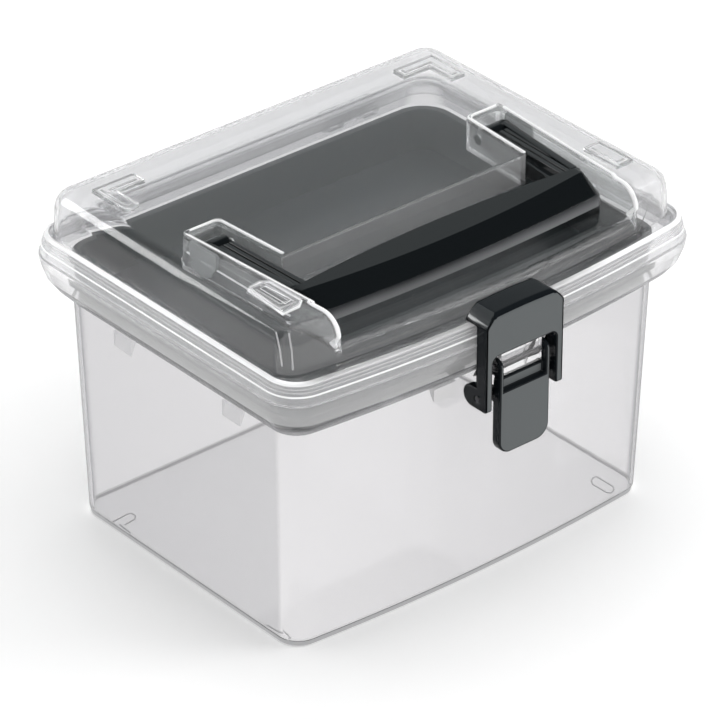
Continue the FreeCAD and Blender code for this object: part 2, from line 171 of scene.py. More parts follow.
def clearPlastic(name, look):  # moulded see-through plastic, greyer where the wall is seen along its length
    shade = Shade(name)
    facing = shade.facing()
    side = shade.ramp(facing, look["sideFrom"], look["sideTo"])
    edge = shade.ramp(facing, look["edgeFrom"], look["edgeTo"]) * look["edgeShare"]
    wave = shade.bump(shade.noise(look["waveScale"]), look["waveStrength"], look["waveDepth"])
    rough = shade.noise(look["roughScale"]) * look["roughness"] + look["roughness"] / 2
    # the paintedGlow key sets a painted emission that stands in for light scattered inside the plastic
    clear = shade.surface({
        "Base Color": shade.mixColour(side, look["tint"], look["sideTint"]), "Alpha": look["alpha"],
        "Roughness": rough, "IOR": look["ior"], "Transmission Weight": look["transmission"], "Normal": wave,
        "Emission Color": grey(1.0), "Emission Strength": look["paintedGlow"]})
    outline = shade.surface({
        "Base Color": look["edgeTint"], "Roughness": look["edgeRoughness"], "Specular IOR Level": 0.0,
        "Alpha": look["alpha"]})
    return shade.finish(shade.blend(edge, clear, outline))


# painted highlights: near-white lines laid on chosen edges and fine tubes of the lid
gleamLook = {
    "tint": (0.97, 0.97, 0.98, 1.0), "alpha": 0.8, "drift": 0.3, "driftScale": 30.0, "roughness": 0.1,
    "paintedGlow": 0.15,
}
softGleamLook = {**gleamLook, "alpha": 0.3, "drift": 0.2, "paintedGlow": 0.0}
rimGleamLook = {
    **gleamLook, "fadeLow": 0.35, "rightFrom": 15.0, "rightTo": 80.0, "leftFrom": 100.0, "leftTo": 119.0,
}


def edgeGleam(name, look):  # a painted highlight: the bright line that a rounded clear edge shows, near-white with painted emission
    shade = Shade(name)
    alpha = shade.noise(look["driftScale"]) * look["drift"] + (look["alpha"] - look["drift"] / 2)
    if "fadeLow" in look:  # the painted highlight is fainter along the middle of the front
        across = shade.along("X")
        right = shade.ramp(across, look["rightFrom"] * mm, look["rightTo"] * mm, look["fadeLow"], 1.0)
        left = shade.ramp(across * -1.0, look["leftFrom"] * mm, look["leftTo"] * mm, look["fadeLow"], 1.0)
        alpha = alpha * shade.sum("MAXIMUM", right, left)
    return shade.finish(shade.surface({
        "Base Color": look["tint"], "Alpha": alpha, "Roughness": look["roughness"],
        "Emission Color": grey(1.0), "Emission Strength": look["paintedGlow"]}))


smokeLook = {
    "tint": (0.018, 0.026, 0.028, 1.0), "lightTint": (0.024, 0.032, 0.034, 1.0), "tintScale": 8.0,
    "edgeTint": (0.012, 0.013, 0.014, 1.0), "edgePower": 2.0, "roughness": 0.30, "roughDrift": 0.08,
    "roughScale": 25.0, "shine": 0.3, "grainScale": 2500.0, "grainStrength": 0.003, "grainDepth": 0.05,
}


def driftingRoughness(shade, look):  # roughness that wanders a little round its middle value
    return shade.noise(look["roughScale"]) * look["roughDrift"] + (look["roughness"] - look["roughDrift"] / 2)


def smokePlastic(name, look):  # solid dark grey, a little darker where it turns away
    shade = Shade(name)
    edge = shade.facing() ** look["edgePower"]
    tint = shade.mixColour(shade.noise(look["tintScale"]), look["tint"], look["lightTint"])
    grain = shade.noise(look["grainScale"])
    return shade.finish(shade.surface({
        "Base Color": shade.mixColour(edge, tint, look["edgeTint"]),
        "Roughness": driftingRoughness(shade, look), "Specular IOR Level": look["shine"],
        "Normal": shade.bump(grain, look["grainStrength"], look["grainDepth"])}))


handleLook = {
    "tint": (0.004, 0.0055, 0.0065, 1.0), "roughness": 0.12, "roughDrift": 0.06, "roughScale": 60.0,
    "ior": 1.5, "shine": 0.5, "grainScale": 700.0, "grainDetail": 3.0, "grainStrength": 0.02,
    "grainDepth": 0.1,
}
latchFaceLook = {
    **handleLook, "tint": (0.105, 0.115, 0.118, 1.0), "roughness": 0.42, "shine": 0.3, "grainScale": 900.0,
    "grainStrength": 0.05,
}
latchEdgeLook = {**handleLook, "tint": (0.007, 0.009, 0.011, 1.0), "roughness": 0.16, "shine": 0.14}
latchCornerLook = {**latchEdgeLook, "roughness": 0.14, "shine": 0.9}


def blackPlastic(name, look):
    shade = Shade(name)
    grain = shade.noise(look["grainScale"], look["grainDetail"])
    return shade.finish(shade.surface({
        "Base Color": look["tint"], "Roughness": driftingRoughness(shade, look), "IOR": look["ior"],
        "Specular IOR Level": look["shine"],
        "Normal": shade.bump(grain, look["grainStrength"], look["grainDepth"])}))


barReflectionLook = {
    # light is the painted reflection's tint at the bottom of the band
    "dark": (0.012, 0.014, 0.016, 1.0), "light": (0.20, 0.205, 0.21, 1.0), "low": 161.9, "high": 168.6,
    "roughLow": 0.12, "roughDrift": 0.06, "roughScale": 60.0,
}


def barReflection(name, look):  # a painted reflection on the bar's low front: the black is painted paler towards the bottom
    shade = Shade(name)
    rise = shade.ramp(shade.along("Z"), look["low"] * mm, look["high"] * mm)
    return shade.finish(shade.surface({
        "Base Color": shade.mixColour(rise, look["light"], look["dark"]),
        "Roughness": shade.noise(look["roughScale"]) * look["roughDrift"] + look["roughLow"]}))


steelLook = {
    "tint": (0.08, 0.08, 0.085, 1.0), "roughLow": 0.25, "roughDrift": 0.15, "streakScale": 400.0,
    "streakStretch": (0.02, 1.0, 1.0),
}


def steel(name, look):
    shade = Shade(name)
    streak = shade.noise(look["streakScale"], 2.0, look["streakStretch"])
    return shade.finish(shade.surface({
        "Base Color": look["tint"], "Metallic": 1.0,
        "Roughness": streak * look["roughDrift"] + look["roughLow"]}))


binMaterials = {  # a face's material number is its name's place in these, and the plain wall is 0
    "wall": clearPlastic("clearBin", binLook),
    "rib": clearPlastic("faintRib", ribLook),
    "rim": clearPlastic("hazyRim", rimLook),
    "foot": clearPlastic("footEdge", footLook),
    "frontRib": clearPlastic("frontRib", frontRibLook),
    "farFoot": clearPlastic("farFoot", farFootLook),
}
lidMaterials = {
    "wall": clearPlastic("clearLid", clearLook),
    # gleam, softGleam and rimGleam are painted highlights
    "gleam": edgeGleam("edgeGleam", gleamLook),
    "softGleam": edgeGleam("softGleam", softGleamLook),
    "haze": clearPlastic("hazyLid", hazeLook),
    "boss": clearPlastic("milkyLid", bossLook),
    "well": clearPlastic("wallLid", wellLook),
    "front": clearPlastic("sideLid", frontLook),
    "rimGleam": edgeGleam("rimGleam", rimGleamLook),
    "end": clearPlastic("litRightEnd", litRightEndLook),
}
trayMaterials = {"smoke": smokePlastic("smokeTray", smokeLook)}
handleMaterials = {
    "gloss": blackPlastic("handleBlack", handleLook),
    "barReflection": barReflection("handleLowReflection", barReflectionLook),
}
latchMaterials = {
    "face": blackPlastic("latchFace", latchFaceLook),
    "edge": blackPlastic("latchEdge", latchEdgeLook),
    "corner": blackPlastic("latchCorner", latchCornerLook),
}
pinSteel = steel("pinSteel", steelLook)
print("materials made")

meshLook = {
    "mergeReach": 0.004, "flatAngle": 0.4, "cutReach": 0.0001, "strayReach": 1.0, "levelReach": 0.25,
    "upright": 0.95, "smoothAngle": 30.0, "levelWeight": 80, "lineSides": 8, "lineTwist": (0.31, 0.17, 0.93),
}


def faceMiddle(face):
    return face.calc_center_median() / mm


def edgeMiddle(edge):
    return (edge.verts[0].co + edge.verts[1].co) / (2 * mm)


def edgeCourse(edge):
    return (edge.verts[0].co - edge.verts[1].co).normalized()


def isVertical(edge):
    return abs(edgeCourse(edge).z) > meshLook["upright"]


def isLevel(edge, height):
    return all(abs(vert.co.z / mm - height) < meshLook["levelReach"] for vert in edge.verts)


def looksOut(face):  # away from the upright line through the middle of the case
    place = faceMiddle(face)
    return face.normal.x * place.x + face.normal.y * place.y > 0


def mergedCopy(nodeName):  # a node's triangles, joined and with the flat ones made one face
    shape = bmesh.new()
    shape.from_mesh(nodes[nodeName].data)
    bmesh.ops.remove_doubles(shape, verts=shape.verts, dist=meshLook["mergeReach"] * mm)
    bmesh.ops.dissolve_limit(shape, angle_limit=math.radians(meshLook["flatAngle"]), verts=shape.verts,
                             edges=shape.edges, use_dissolve_boundaries=False)
    return shape


def roundEdges(shape, width, sharpAngle, chosen=None, segments=2):  # returns the faces of the rounds
    sharp = [edge for edge in shape.edges
             if len(edge.link_faces) == 2 and edge.calc_face_angle(0.0) > math.radians(sharpAngle)]
    if chosen:
        sharp = [edge for edge in sharp if chosen(edge)]
    made = bmesh.ops.bevel(shape, geom=sharp, offset=width * mm, offset_type="OFFSET", segments=segments,
                           profile=0.5, affect="EDGES", material=-1, clamp_overlap=False, loop_slide=True)
    return made["faces"]


def cutAt(shape, place, normal, geom=None, reach=meshLook["cutReach"], clearOuter=False):
    bmesh.ops.bisect_plane(shape, geom=geom or shape.verts[:] + shape.edges[:] + shape.faces[:],
                           dist=reach * mm, plane_co=[value * mm for value in place], plane_no=normal,
                           clear_outer=clearOuter)


def heldIn(place, low, high):
    return Vector([min(max(value, least), most) for value, least, most in zip(place, low, high)])


def pullIn(shape, nodeName):  # rounds that run past the part's own box come back to it
    low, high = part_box(nodeName)
    for vert in shape.verts:
        held = heldIn(vert.co, low, high)
        if (held - vert.co).length > meshLook["strayReach"] * mm:  # far out: first between its neighbours
            near = [edge.other_vert(vert).co for edge in vert.link_edges]
            held = heldIn(sum(near, Vector()) / len(near), low, high)
        vert.co = held


def indexOf(materials, name):
    return list(materials).index(name)


def paint(faces, materials, name):
    for face in faces:
        face.material_index = indexOf(materials, name)


def repaint(shape, materials, old, new, chosen):  # chosen takes the middle of a face
    paint([face for face in shape.faces if face.material_index == indexOf(materials, old)
           and chosen(faceMiddle(face))], materials, new)


def ringPlace(point, course):  # where a ring lies that stands square to a line's course
    across = course.cross(Vector(meshLook["lineTwist"])).normalized()
    turn = Matrix((across, course.cross(across), course)).transposed()
    return Matrix.Translation(point) @ turn.to_4x4()


def joinTo(shape, part):  # moves a part that was shaped by itself into its piece
    mesh = bpy.data.meshes.new("part")
    part.to_mesh(mesh)
    part.free()
    shape.from_mesh(mesh)
    bpy.data.meshes.remove(mesh)


def addLine(shape, points, radius, materials, name, closed=False):  # a thin rounded line, points in metres
    line = bmesh.new()
    rings = []
    for place, point in enumerate(points):
        before = points[place - 1] if closed else points[max(place - 1, 0)]
        after = points[(place + 1) % len(points)] if closed else points[min(place + 1, len(points) - 1)]
        made = bmesh.ops.create_circle(line, segments=meshLook["lineSides"], radius=radius * mm,
                                       matrix=ringPlace(point, (after - before).normalized()))
        rings.append([edge for edge in line.edges if edge.verts[0] in made["verts"]])
    for first, second in zip(rings, rings[1:] + rings[:1] if closed else rings[1:]):
        bmesh.ops.bridge_loops(line, edges=first + second)
    if not closed:
        bmesh.ops.holes_fill(line, edges=rings[0] + rings[-1], sides=0)
    bmesh.ops.recalc_face_normals(line, faces=line.faces)
    paint(line.faces, materials, name)
    joinTo(shape, line)


def finishPiece(nodeName, shape, materials, body, crease=None):
    shape.normal_update()
    for face in shape.faces:
        face.smooth = True
    for edge in shape.edges:
        blunt = edge.calc_face_angle(0.0) < math.radians(meshLook["smoothAngle"])
        edge.smooth = blunt and not (crease and crease(edge))
    mesh = bpy.data.meshes.new(nodeName + "Piece")
    shape.to_mesh(mesh)
    shape.free()
    for material in materials.values():
        mesh.materials.append(material)
    piece = bpy.data.objects.new(nodeName + "Piece", mesh)
    scene.collection.objects.link(piece)
    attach(piece, body)
    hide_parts(nodeName)
    level = piece.modifiers.new("levelFaces", "WEIGHTED_NORMAL")  # keeps the shine of broad faces flat
    level.keep_sharp = True
    level.weight = meshLook["levelWeight"]
    print(nodeName, "made")


binShape = {  # lengths and places in mm here and below, angles in degrees, turns as parts of a normal
    "edge": 0.6, "sharpAngle": 58.0, "ribLow": 96.0, "ribHigh": 115.5, "ribArea": 150.0, "proudFrom": -89.8,
    "frontRibs": -80.0, "rimLow": 131.5, "footHigh": 3.3, "footFlat": 0.98, "farTurn": 0.3,
    "markHeight": 2.5, "markWidth": 0.4,
}
footMarks = (  # the thin lines moulded in the base, as far as they can be seen
    ((-106.5, 56.6), (-96.8, 57.6), (-94.9, 56.8), (-94.8, 54.0), (-96.9, 51.7), (-103.3, 51.0)),
    ((-105.2, 52.7), (-105.8, 43.8)),
    ((-105.4, -58.3), (-104.8, -67.8), (-103.0, -65.7), (-103.5, -69.2), (-104.3, -72.9), (-106.6, -73.9)),
    ((94.1, -61.3), (96.0, -61.9), (95.7, -73.5), (93.8, -76.0), (91.1, -77.0), (89.8, -75.3), (89.8, -65.6),
     (91.6, -62.8), (94.1, -61.3)),
)


def isRib(face):  # a face of the small ledges that carry the tray
    heights = [vert.co.z / mm for vert in face.verts]
    return (min(heights) > binShape["ribLow"] and max(heights) < binShape["ribHigh"]
            and face.calc_area() < binShape["ribArea"] * mm * mm)


def makeBin():
    look = binShape
    shape = mergedCopy("bin")
    for side in (-1, 1):  # the ledges' feet stand a hair proud of the curved front and are made flat with it
        proud = [face for face in shape.faces if isRib(face) and side * faceMiddle(face).x > 0
                 and faceMiddle(face).y < look["proudFrom"]]
        bmesh.ops.dissolve_faces(shape, faces=proud, use_verts=True)
    ribs = {face for face in shape.faces if isRib(face) and faceMiddle(face).y > look["proudFrom"]}
    paint(ribs, binMaterials, "rib")
    repaint(shape, binMaterials, "rib", "frontRib", lambda place: place.y < look["frontRibs"])
    roundEdges(shape, look["edge"], look["sharpAngle"],
               lambda edge: not any(face in ribs for face in edge.link_faces))
    pullIn(shape, "bin")
    cutAt(shape, (0.0, 0.0, look["footHigh"]), (0.0, 0.0, 1.0))
    for face in [face for face in shape.faces if face.material_index == 0]:
        if faceMiddle(face).z < look["footHigh"] and abs(face.normal.z) < look["footFlat"]:
            isFar = max(face.normal.x, face.normal.y) > look["farTurn"]  # paler at the back and the right
            paint([face], binMaterials, "farFoot" if isFar else "foot")
        elif faceMiddle(face).z > look["rimLow"] and looksOut(face):
            paint([face], binMaterials, "rim")
    for mark in footMarks:
        addLine(shape, [Vector((x, y, look["markHeight"])) * mm for x, y in mark], look["markWidth"],
                binMaterials, "foot")
    ledges = (indexOf(binMaterials, "rib"), indexOf(binMaterials, "frontRib"))
    finishPiece("bin", shape, binMaterials, "case",
                lambda edge: any(face.material_index in ledges for face in edge.link_faces))


lidShape = {
    "rimTop": 152.7, "rimWidth": 1.5, "rimSlopes": (0.2, 0.5), "beadTop": 176.8, "beadWidth": 0.85,
    "padTop": 177.2, "padWidth": 0.5, "lineAngle": 40.0, "edge": 0.4, "sharpAngle": 58.0,
    "frontFrom": -84.0, "faintLow": 176.0, "faintBack": 20.0, "faintEnd": 93.5,
    "cornerRound": 2.6, "cornerY": (2.0, 17.0), "cornerLow": 162.0,
    "wellHalf": 97.5, "wellFront": -83.0, "wellBack": 14.0, "wellLow": 157.0, "wellHigh": 175.5,
    "wellSteep": 0.6, "wellFrontHalf": 70.0, "wallX": (88.0, 99.0), "square": 0.9,
    "skirtLow": 141.5, "skirtHigh": 152.0, "lipLow": 141.95, "lipHigh": 142.5, "lipBack": 95.0,
    "sideLow": 153.5, "sideHigh": 174.8, "frontTurn": 0.4, "endHalf": 97.0, "endTurn": 0.3,
}
padCut = {"border": 1.1, "depth": 0.7, "groove": 1.6, "draft": 0.05, "level": 0.99, "reach": 0.05}
frontPad = {
    "outline": ((-104.2, -45.6), (-97.6, -44.7), (-93.9, -47.6), (-93.2, -68.6), (-96.7, -71.4),
                (-106.4, -72.2)),
    "frame": ((-101.6, -50.2), (-98.2, -49.8), (-97.0, -66.6), (-101.4, -67.4)),
    "low": 175.0, "high": 176.75, "foot": 0.4, "footWidth": 0.75, "edgeWidth": 0.35, "frameWidth": 0.25,
    "level": 0.9,
}
skirtLines = {"strong": 146.5, "strongWidth": 0.45, "faint": (149.9, 148.4), "faintWidth": 0.32,
              "half": (120.0, 100.0), "gap": 0.4}
wallTube = {"half": (84.0, 93.5), "front": -76.0, "low": 159.5, "square": 0.9, "level": 0.5, "up": 0.05,
            "forward": 0.5, "lead": (0.25, 3.0, 0.9), "radius": 1.1, "out": 0.9}
footLine = {
    "points": ((96.15, 9.0, 166.6), (96.1, 3.0, 166.35), (93.95, -33.5, 164.55), (92.4, -60.0, 163.2)),
    "radius": 0.5, "height": 166.45, "slope": 0.05, "middle": 5.0,
}
# painted highlight streaks down the dome's front corners
cornerStreaks = {
    "lines": (((114.8, -77.3, 171.9), (115.9, -80.0, 169.4), (116.2, -81.7, 165.2), (116.1, -82.9, 157.5)),
              ((111.6, -82.4, 172.5), (112.8, -85.8, 164.8), (112.9, -86.5, 155.9))),
    "radius": 0.45,
}
cornerTube = {"half": (55.0, 84.0), "front": -40.0, "low": 162.0, "high": 173.0, "angle": 57.3,
              "length": 8.0, "radius": 0.8}
pivotBoss = {"front": -13.0, "back": 7.0, "low": 160.6, "high": 174.9, "face": 95.0, "rise": 1.8,
             "sides": 32}


def onSkirt(face):
    look = lidShape
    low, high = look["rimSlopes"]
    return look["skirtLow"] < faceMiddle(face).z < look["skirtHigh"] and low < abs(face.normal.z) < high


def isRimEdge(edge):
    low, high = lidShape["rimSlopes"]
    return isLevel(edge, lidShape["rimTop"]) and low < min(face.normal.z for face in edge.link_faces) < high


def isBackCorner(edge):  # the upright corners at the back of the well round the handle
    look = lidShape
    place = edgeMiddle(edge)
    return (isVertical(edge) and abs(place.x) < look["wellHalf"] and place.z > look["cornerLow"]
            and look["cornerY"][0] < place.y < look["cornerY"][1])


def cutPads(shape):  # a sunk ring in the top of each pad
    look = padCut
    tops = [face for face in shape.faces if face.normal.z > look["level"]
            and abs(faceMiddle(face).z - lidShape["padTop"]) < look["reach"]]
    for top in tops:
        for border, depth in ((look["border"], 0.0), (look["draft"], -look["depth"]), (look["groove"], 0.0),
                              (look["draft"], look["depth"])):
            bmesh.ops.inset_region(shape, faces=[top], thickness=border * mm, depth=depth * mm,
                                   use_even_offset=True)


def addFrontPad(shape):  # the larger pad by the front left end of the handle
    look = frontPad
    foot = look["low"] + look["foot"]
    pad = bmesh.new()
    base = pad.faces.new([pad.verts.new(Vector((x, y, look["low"])) * mm) for x, y in look["outline"]])
    made = bmesh.ops.extrude_face_region(pad, geom=[base])["geom"]
    bmesh.ops.translate(pad, verts=[item for item in made if isinstance(item, bmesh.types.BMVert)],
                        vec=(0.0, 0.0, (look["high"] - look["low"]) * mm))
    bmesh.ops.recalc_face_normals(pad, faces=pad.faces)
    bmesh.ops.delete(pad, geom=[base], context="FACES_ONLY")
    pad.normal_update()
    # the pad's sides take a faint painted highlight, its top the hazy finish
    paint(pad.faces, lidMaterials, "softGleam")
    paint([face for face in pad.faces if face.normal.z > look["level"]], lidMaterials, "haze")
    joinTo(shape, pad)
    # painted highlight lines round the pad's top edge, its foot and the sunk frame
    for outline, height, width, name in (("outline", look["high"], look["edgeWidth"], "softGleam"),
                                         ("outline", foot, look["footWidth"], "gleam"),
                                         ("frame", look["high"], look["frameWidth"], "gleam")):
        points = [Vector((x, y, height)) * mm for x, y in look[outline]]
        addLine(shape, points, width, lidMaterials, name, True)


def addRing(shape, height, radius, name):  # a fine raised line round the skirt, painted as a highlight
    level = height * mm
    halfX, halfY = skirtLines["half"]
    points = []
    for edge in {edge for face in shape.faces if onSkirt(face) and face.normal.z > 0 for edge in face.edges}:
        one, two = sorted((vert.co for vert in edge.verts), key=lambda place: place.z)
        if one.z < level < two.z:
            points.append(one.lerp(two, (level - one.z) / (two.z - one.z)))
    points.sort(key=lambda place: math.atan2(place.y / halfY, place.x / halfX))
    kept = [point for place, point in enumerate(points)
            if (point - points[place - 1]).length > skirtLines["gap"] * mm]
    addLine(shape, kept, radius, lidMaterials, name, True)


def addBoss(shape, side):  # the round boss with a flat top, round the handle's pin
    look = pivotBoss
    radius = (look["back"] - look["front"]) / 2 * mm
    middle = (look["back"] + look["front"]) / 2 * mm
    place = Matrix.Translation((side * look["face"] * mm, middle, look["low"] * mm + radius))
    disc = bmesh.ops.create_circle(shape, cap_ends=True, segments=look["sides"], radius=radius,
                                   matrix=place @ Matrix.Rotation(math.radians(90), 4, "Y"))
    for vert in disc["verts"]:
        vert.co.z = min(vert.co.z, look["high"] * mm)
    made = bmesh.ops.extrude_face_region(
        shape, geom=list({face for vert in disc["verts"] for face in vert.link_faces}))
    moved = [item for item in made["geom"] if isinstance(item, bmesh.types.BMVert)]
    bmesh.ops.translate(shape, verts=moved, vec=(side * look["rise"] * mm, 0.0, 0.0))
    faces = list({face for vert in moved for face in vert.link_faces})
    bmesh.ops.recalc_face_normals(shape, faces=faces)
    paint(faces, lidMaterials, "boss")


def isTubeEdge(edge, side):  # where a wall of the well meets the dome's top or front
    look = wallTube
    place = edgeMiddle(edge)
    normals = [face.normal for face in edge.link_faces]
    return (len(normals) == 2 and look["half"][0] < side * place.x < look["half"][1]
            and place.y < look["front"] and place.z > look["low"]
            and any(-side * normal.x > look["square"] for normal in normals)
            and any(abs(normal.x) < look["level"] and (normal.z > look["up"] or normal.y < -look["forward"])
                    for normal in normals))


def addWallTube(shape, side):  # the thick rounded line that runs down a wall of the well, painted as a highlight
    look = wallTube
    ends = {vert.co.copy().freeze() for edge in shape.edges if isTubeEdge(edge, side) for vert in edge.verts}
    points = [Vector(place) for place in sorted(ends, key=lambda place: -place[1] - place[2])]
    lead = Vector((side * look["lead"][0], look["lead"][1], look["lead"][2])) * mm
    outward = Vector((side * look["out"] * mm, 0.0, 0.0))
    addLine(shape, [point + outward for point in [points[0] + lead] + points], look["radius"],
            lidMaterials, "gleam")


def addMirrored(shape, points, side, radius, name):  # points are given for the right side
    addLine(shape, [Vector((side * x, y, z)) * mm for x, y, z in points], radius, lidMaterials, name)


def addCornerTube(shape):  # a painted highlight line on the corner of the well by the right end of the bar
    look = cornerTube
    corners = [edge for edge in shape.edges
               if len(edge.link_faces) == 2 and isVertical(edge) and edge.is_convex
               and look["half"][0] < edgeMiddle(edge).x < look["half"][1]
               and look["low"] < edgeMiddle(edge).z < look["high"] and edgeMiddle(edge).y < look["front"]
               and edge.calc_face_angle(0.0) > math.radians(look["angle"])
               and edge.calc_length() > look["length"] * mm]
    for edge in corners:
        addLine(shape, [vert.co.copy() for vert in edge.verts], look["radius"], lidMaterials, "gleam")


def cutFootLine(shape, side):  # the line at which an outer wall of the well turns hazy
    look = lidShape
    walls = [face for face in shape.faces if side * face.normal.x > look["square"]
             and look["wallX"][0] < side * faceMiddle(face).x < look["wallX"][1]]
    geom = set(walls)
    for face in walls:
        geom.update(face.edges)
        geom.update(face.verts)
    cutAt(shape, (0.0, footLine["middle"], footLine["height"]), (0.0, -footLine["slope"], 1.0), list(geom))


def lidFinish(face):  # which finish a plain face of the lid takes
    look = lidShape
    place = faceMiddle(face)
    inWell = abs(place.x) < look["wellHalf"] and look["wellFront"] < place.y < look["wellBack"]
    foot = footLine["height"] + footLine["slope"] * (place.y - footLine["middle"])
    isOuter = face.normal.x * place.x > 0 and abs(place.x) > look["wallX"][0] and place.z < foot
    isSteep = abs(face.normal.z) < look["wellSteep"] and look["wellLow"] < place.z < look["wellHigh"]
    onSide = look["sideLow"] < place.z < look["sideHigh"]
    onLip = look["lipLow"] < place.z < look["lipHigh"] and place.y < look["lipBack"]
    if inWell and isSteep and not isOuter:
        isFront = face.normal.y < -look["square"] and abs(place.x) < look["wellFrontHalf"]
        return "haze" if isFront else "well"
    if onLip or (onSkirt(face) and looksOut(face)):
        return "haze"
    # the dome's front faces and right end take finishes lifted by painted emission; the right end's stands in
    # for the light falling on it
    if onSide and not inWell and face.normal.y < -look["frontTurn"]:
        return "front"
    if onSide and place.x > look["endHalf"] and abs(face.normal.x) > look["endTurn"]:
        return "end"
    return "wall"


def makeLid():
    look = lidShape
    shape = mergedCopy("lid")
    cutPads(shape)
    roundEdges(shape, look["cornerRound"], look["lineAngle"], isBackCorner, 4)
    # the rim's top outer edge, the beads and the pad tops are painted as highlights, fainter along the front
    paint(roundEdges(shape, look["rimWidth"], look["lineAngle"], isRimEdge, 3), lidMaterials, "gleam")
    repaint(shape, lidMaterials, "gleam", "rimGleam", lambda place: place.y < look["frontFrom"])
    for height, width in ((look["beadTop"], look["beadWidth"]), (look["padTop"], look["padWidth"])):
        rounds = roundEdges(shape, width, look["lineAngle"], lambda edge: isLevel(edge, height))
        paint(rounds, lidMaterials, "gleam")
    repaint(shape, lidMaterials, "gleam", "softGleam", lambda place: place.z > look["faintLow"] and (
        place.y > look["faintBack"] or abs(place.x) > look["faintEnd"]))  # three of the pads take a fainter painted highlight
    lines = {face for face in shape.faces if face.material_index}
    for side in (-1, 1):
        cutFootLine(shape, side)
    roundEdges(shape, look["edge"], look["sharpAngle"],
               lambda edge: not any(face in lines for face in edge.link_faces))
    for face in [face for face in shape.faces if face.material_index == 0]:
        paint([face], lidMaterials, lidFinish(face))
    for height in skirtLines["faint"]:
        addRing(shape, height, skirtLines["faintWidth"], "softGleam")
    addRing(shape, skirtLines["strong"], skirtLines["strongWidth"], "gleam")
    addFrontPad(shape)
    for side in (-1, 1):
        addWallTube(shape, side)
        # a painted highlight line along the foot of each outer wall of the well
        addMirrored(shape, footLine["points"], side, footLine["radius"], "gleam")
        for line in cornerStreaks["lines"]:  # the painted highlight streaks down each front corner of the dome
            addMirrored(shape, line, side, cornerStreaks["radius"], "softGleam")
    addCornerTube(shape)
    for side in (-1, 1):
        addBoss(shape, side)
    finishPiece("lid", shape, lidMaterials, "lid")


trayShape = {"edge": 0.4, "sharpAngle": 50.0}


def makeTray():
    shape = mergedCopy("tray")
    roundEdges(shape, trayShape["edge"], trayShape["sharpAngle"])
    finishPiece("tray", shape, trayMaterials, "tray")


barShape = {
    "rearY": -54.6, "rearZ": 173.9, "rearBowY": 4.2, "rearBowZ": 0.5, "crownY": -58.5, "crownZ": 173.4,
    "crownBowY": -4.6, "crownBowZ": -1.0, "lowY": -72.6, "lowZ": 168.4, "lowBowY": -2.8, "lowBowZ": -0.4,
    "bottomZ": 161.7, "wall": 3.2, "endHalf": 88.4, "endFrom": -60.0, "endDraw": 0.22, "bowHalf": 84.0,
    "stations": 24, "hollowHalf": 74.0, "endAngle": 50.0, "endRound": 5.5, "endSegments": 6,
    "roundHalf": 82.0, "roundHigh": 165.0, "roundBack": -54.0, "footHigh": 163.0, "footBack": -57.0,
    "endCourse": 0.5, "frontFrom": -68.0, "frontSquare": 0.9, "frontTilt": 0.2,
    "creaseFront": -56.0, "creaseLow": 166.0, "creaseCourse": 0.85, "creaseAngle": 7.0,
}
armShape = {"cutY": -55.0, "cutGap": 0.5, "edge": 0.8, "sharpAngle": 40.0, "pivotY": 2.8, "drawShare": 0.035}
armRibs = {"places": (80.2, 83.5, 86.8), "width": 2.5, "low": 168.0, "top": 172.6, "front": -57.0,
           "back": -3.0, "round": 0.45}


def barPoint(side, y, z):  # side runs from -1 to 1 along the bar
    half = barShape["endHalf"] - barShape["endDraw"] * max(0.0, barShape["endFrom"] - y)
    return Vector((side * half * mm, y * mm, z * mm))


def barSection(side):  # rear foot, rear top, crown, low line, front foot, then the hollow back to the rear
    look = barShape
    bow = max(0.0, 1.0 - (side * look["endHalf"] / look["bowHalf"]) ** 2)
    rear = (look["rearY"] + look["rearBowY"] * bow, look["rearZ"] + look["rearBowZ"] * bow)
    crown = (look["crownY"] + look["crownBowY"] * bow, look["crownZ"] + look["crownBowZ"] * bow)
    low = (look["lowY"] + look["lowBowY"] * bow, look["lowZ"] + look["lowBowZ"] * bow)
    wall, foot = look["wall"], look["bottomZ"]
    outer = [(rear[0], foot), rear, crown, low, (low[0], foot)]
    inner = [(low[0] + wall, foot), (low[0] + wall, low[1] - wall), (crown[0], crown[1] - wall),
             (rear[0] - wall, rear[1] - wall), (rear[0] - wall, foot)]
    return [barPoint(side, y, z) for y, z in outer + inner]


def isBarEnd(edge):  # the edges of the two end faces, without their feet at the rear
    look = barShape
    low, high = sorted(vert.co.z / mm for vert in edge.verts)
    atEnd = all(abs(vert.co.x / mm) > look["roundHalf"] and vert.co.y / mm < look["roundBack"]
                for vert in edge.verts)
    rearFoot = low < look["footHigh"] and edgeMiddle(edge).y > look["footBack"]
    isAcross = abs(edgeCourse(edge).x) < look["endCourse"]
    return atEnd and isAcross and high > look["roundHigh"] and not rearFoot


def loft(shape, sections):  # walls from each section to the next
    rings = []
    for section in sections:
        verts = [shape.verts.new(point) for point in section]
        rings.append([shape.edges.new((verts[place - 1], verts[place])) for place in range(len(verts))])
    for first, second in zip(rings, rings[1:]):
        bmesh.ops.bridge_loops(shape, edges=first + second)


